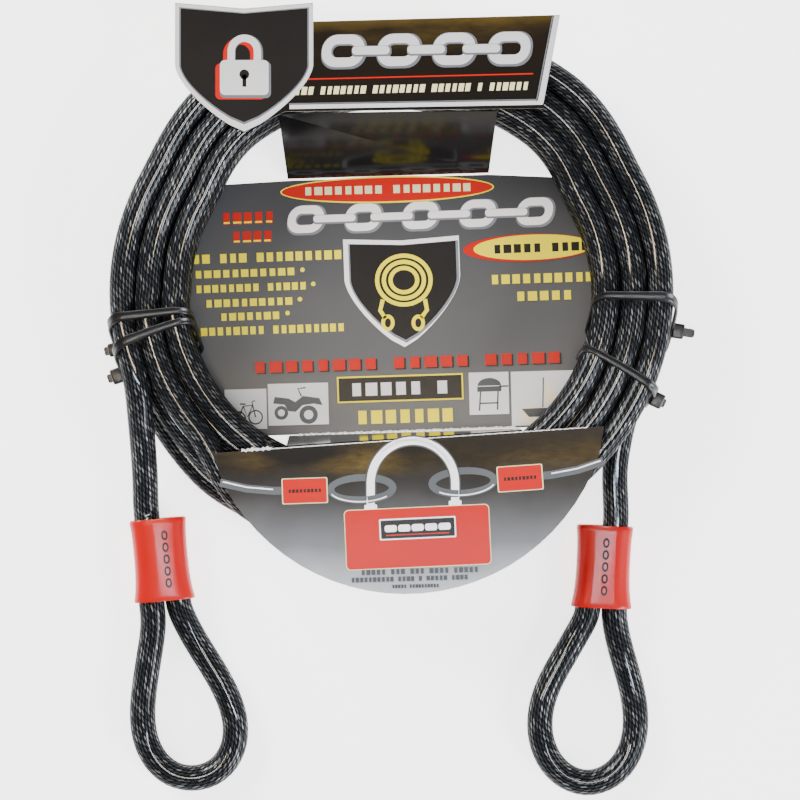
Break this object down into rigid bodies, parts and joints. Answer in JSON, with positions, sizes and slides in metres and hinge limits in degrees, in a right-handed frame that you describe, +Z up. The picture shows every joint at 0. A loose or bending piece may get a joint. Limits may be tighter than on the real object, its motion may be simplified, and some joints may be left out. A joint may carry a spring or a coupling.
{
  "type": "looped-end security cable",
  "caption": "Coiled flexible security cable with a crimped, sleeved eye at each end, held by cable ties and threaded through a folded display card.",
  "frame": {"origin": "middle of the coil, on the card's flat underside that the part rests on", "axes": "+Z up through the coil's axis, +Y from the eyes towards the card's header, +X to the right seen from above"},
  "size_m": [0.2277, 0.3035, 0.0312],
  "materials": {
    "cable_jacket": "smoke-clear glossy vinyl over stranded steel",
    "sleeve_red": "soft satin red vinyl",
    "ferrule_aluminium": "pressed, satin",
    "bare_rope_steel": "stranded wire",
    "tie_nylon": "moulded black nylon",
    "card_print": "printed and varnished",
    "card_gloss": "printed and high-gloss varnished"
  },
  "bodies": {
    "coil": {"cable_coil": "cable_jacket", "left_tail_upper": "cable_jacket", "right_tail_upper": "cable_jacket", "tie_left_upper": "tie_nylon", "tie_left_lower": "tie_nylon", "tie_right_upper": "tie_nylon", "tie_right_lower": "tie_nylon", "card_back_panel": "card_print", "card_bottom_shelf": "card_gloss"},
    "left_end": {"left_tail_lower": "cable_jacket", "left_eye": "cable_jacket", "left_ferrule": "ferrule_aluminium", "left_sleeve": "sleeve_red", "left_live_rope": "bare_rope_steel", "left_dead_end_rope": "bare_rope_steel"},
    "right_end": {"right_tail_lower": "cable_jacket", "right_eye": "cable_jacket", "right_ferrule": "ferrule_aluminium", "right_sleeve": "sleeve_red", "right_live_rope": "bare_rope_steel", "right_dead_end_rope": "bare_rope_steel"},
    "top_flap": {"card_top_shelf": "card_gloss", "card_header": "card_gloss"},
    "lower_flap": {"card_lower_panel": "card_print"}
  },
  "joints": [
    {"name": "left_end_swing", "type": "hinge", "parent": "coil", "child": "left_end", "pos_m": [-0.09581, -0.05193, 0.01979], "axis": [0, 0, 1], "range_deg": [-20, 15], "stiffness_Nm_per_rad": 0.6},
    {"name": "right_end_swing", "type": "hinge", "parent": "coil", "child": "right_end", "pos_m": [0.08814, -0.0553, 0.00722], "axis": [0, 0, 1], "range_deg": [-12, 20], "stiffness_Nm_per_rad": 0.6},
    {"name": "top_flap_fold", "type": "hinge", "parent": "coil", "child": "top_flap", "pos_m": [-0.0015, 0.0456, 0.0003], "axis": [0.9995, 0.0307, 0], "range_deg": [0, 75]},
    {"name": "lower_flap_fold", "type": "hinge", "parent": "coil", "child": "lower_flap", "pos_m": [0.0061, -0.0558, 0.0303], "axis": [-0.9977, -0.0685, 0], "range_deg": [0, 100]}
  ]
}
